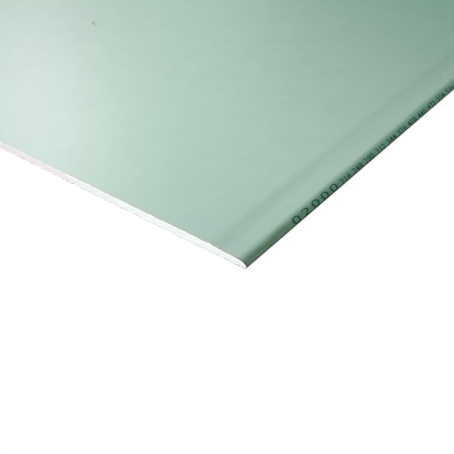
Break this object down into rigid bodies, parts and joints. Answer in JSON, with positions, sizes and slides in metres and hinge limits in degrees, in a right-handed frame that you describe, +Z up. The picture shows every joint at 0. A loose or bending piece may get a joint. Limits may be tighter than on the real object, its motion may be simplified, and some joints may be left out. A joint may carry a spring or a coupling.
{
  "type": "drywall sheet",
  "caption": "Flat gypsum board with green moisture-resistant face paper wrapped round both tapered long edges, a white core bare at the sawn ends, and a grey-brown back paper.",
  "frame": {"origin": "centre of the resting plane under the board, at its length's and width's middle", "axes": "+X along the length and the wrapped long edges, +Y across the width, +Z up out of the face"},
  "size_m": [2, 1.25, 0.0125],
  "materials": {
    "gypsum": "sawn, matt and finely porous",
    "green_paper": "smooth calendered liner with a soft sheen",
    "grey_paper": "rough recycled liner, matt"
  },
  "bodies": {
    "root": {"gypsum_core": "gypsum", "face_paper": "green_paper", "back_paper": "grey_paper"}
  },
  "joints": []
}
